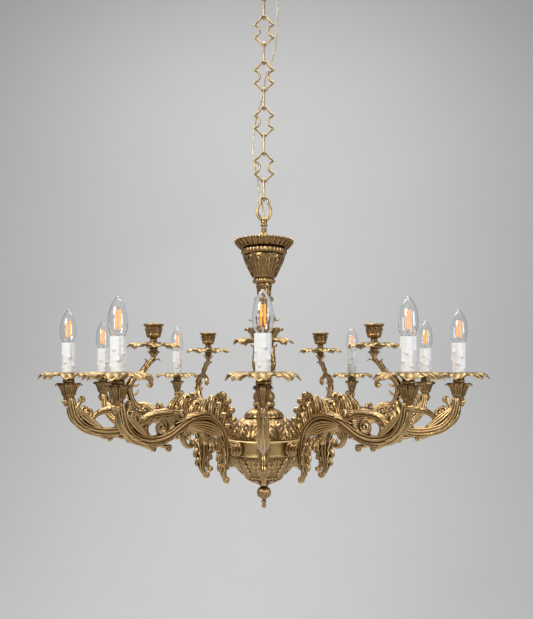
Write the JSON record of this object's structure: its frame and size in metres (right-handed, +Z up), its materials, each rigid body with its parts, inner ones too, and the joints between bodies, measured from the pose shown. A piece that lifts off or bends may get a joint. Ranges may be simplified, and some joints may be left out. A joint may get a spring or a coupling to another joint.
{
  "type": "multi-arm chandelier",
  "caption": "Cast brass chandelier hung on an ornate chain: scroll arms with electric candles, smaller upper scrolls with candle nozzles, urn stem, polished drum and drop finial.",
  "frame": {"origin": "middle of the ceiling plate's upper face, where it meets the ceiling", "axes": "+Z up; -Y is the front, the direction of the first arm; +X to the right seen from the front"},
  "size_m": [0.9304, 0.972, 1.305],
  "materials": {
    "aged_brass": "aged, satin, brown in the hollows and rubbed bright on the edges",
    "bright_brass": "polished with a warm tarnish",
    "steel": "satin",
    "sleeve": "waxy satin with moulded drips",
    "insulation": "matte",
    "bulb_glass": "clear, glossy",
    "filament": "orange light strips",
    "cable": "clear sheath over twisted gold-coloured wire"
  },
  "bodies": {
    "ceiling": {"ceiling_plate": "steel", "ceiling_hook": "bright_brass", "ceiling_canopy": "aged_brass", "canopy_nut": "bright_brass", "supply_cable": "cable"},
    "ornate_link_1": {"ornate_link_1": "bright_brass"},
    "oval_link_1": {"oval_link_1": "bright_brass"},
    "ornate_link_2": {"ornate_link_2": "bright_brass"},
    "oval_link_2": {"oval_link_2": "bright_brass"},
    "ornate_link_3": {"ornate_link_3": "bright_brass"},
    "oval_link_3": {"oval_link_3": "bright_brass"},
    "ornate_link_4": {"ornate_link_4": "bright_brass"},
    "oval_link_4": {"oval_link_4": "bright_brass"},
    "ornate_link_5": {"ornate_link_5": "bright_brass"},
    "oval_link_5": {"oval_link_5": "bright_brass"},
    "fixture": {"hanging_loop": "bright_brass", "loop_collar": "bright_brass", "tie_rod": "steel", "top_knob": "aged_brass", "crown_gallery": "aged_brass", "gadroon_ring": "aged_brass", "urn": "aged_brass", "urn_foot": "aged_brass", "neck": "aged_brass", "baluster": "aged_brass", "flare_cup": "aged_brass", "stem_column": "aged_brass", "stem_knop": "aged_brass", "dome_cap": "aged_brass", "dome": "aged_brass", "drum_band": "bright_brass", "bowl": "aged_brass", "finial_collar": "aged_brass", "finial": "aged_brass", "junction_block": "insulation", "scroll_arm_1": "aged_brass", "scroll_arm_2": "aged_brass", "scroll_arm_3": "aged_brass", "scroll_arm_4": "aged_brass", "scroll_arm_5": "aged_brass", "scroll_arm_6": "aged_brass", "scroll_arm_7": "aged_brass", "scroll_arm_8": "aged_brass", "scroll_arm_9": "aged_brass", "scroll_arm_10": "aged_brass", "upper_arm_1": "aged_brass", "upper_arm_2": "aged_brass", "upper_arm_3": "aged_brass", "upper_arm_4": "aged_brass", "upper_arm_5": "aged_brass", "root_collars": "aged_brass", "root_nuts": "steel", "lower_drip_pans": "bright_brass", "upper_drip_pans": "bright_brass", "candle_nozzles": "aged_brass", "candle_sleeves": "sleeve", "lampholders": "insulation", "bulb_glasses": "bulb_glass", "bulb_caps": "steel", "bulb_filaments": "filament"}
  },
  "joints": [
    {"name": "ornate_link_1_swing", "type": "hinge", "parent": "ceiling", "child": "ornate_link_1", "pos_m": [0, 0, -0.084], "axis": [0, 1, 0], "range_deg": [-6, 6], "deforming": ["supply_cable"]},
    {"name": "oval_link_1_swing", "type": "hinge", "parent": "ornate_link_1", "child": "oval_link_1", "pos_m": [0, 0, -0.1451], "axis": [1, 0, 0], "range_deg": [-6, 6], "deforming": ["supply_cable"]},
    {"name": "ornate_link_2_swing", "type": "hinge", "parent": "oval_link_1", "child": "ornate_link_2", "pos_m": [0, 0, -0.1878], "axis": [0, 1, 0], "range_deg": [-6, 6], "deforming": ["supply_cable"]},
    {"name": "oval_link_2_swing", "type": "hinge", "parent": "ornate_link_2", "child": "oval_link_2", "pos_m": [0, 0, -0.2489], "axis": [1, 0, 0], "range_deg": [-6, 6], "deforming": ["supply_cable"]},
    {"name": "ornate_link_3_swing", "type": "hinge", "parent": "oval_link_2", "child": "ornate_link_3", "pos_m": [0, 0, -0.2916], "axis": [0, 1, 0], "range_deg": [-6, 6], "deforming": ["supply_cable"]},
    {"name": "oval_link_3_swing", "type": "hinge", "parent": "ornate_link_3", "child": "oval_link_3", "pos_m": [0, 0, -0.3527], "axis": [1, 0, 0], "range_deg": [-6, 6], "deforming": ["supply_cable"]},
    {"name": "ornate_link_4_swing", "type": "hinge", "parent": "oval_link_3", "child": "ornate_link_4", "pos_m": [0, 0, -0.3954], "axis": [0, 1, 0], "range_deg": [-6, 6], "deforming": ["supply_cable"]},
    {"name": "oval_link_4_swing", "type": "hinge", "parent": "ornate_link_4", "child": "oval_link_4", "pos_m": [0, 0, -0.4565], "axis": [1, 0, 0], "range_deg": [-6, 6], "deforming": ["supply_cable"]},
    {"name": "ornate_link_5_swing", "type": "hinge", "parent": "oval_link_4", "child": "ornate_link_5", "pos_m": [0, 0, -0.4992], "axis": [0, 1, 0], "range_deg": [-6, 6], "deforming": ["supply_cable"]},
    {"name": "oval_link_5_swing", "type": "hinge", "parent": "ornate_link_5", "child": "oval_link_5", "pos_m": [0, 0, -0.5603], "axis": [1, 0, 0], "range_deg": [-6, 6], "deforming": ["supply_cable"]},
    {"name": "fixture_swing", "type": "hinge", "parent": "oval_link_5", "child": "fixture", "pos_m": [0, 0, -0.603], "axis": [0, 1, 0], "range_deg": [-6, 6], "deforming": ["supply_cable"]}
  ]
}
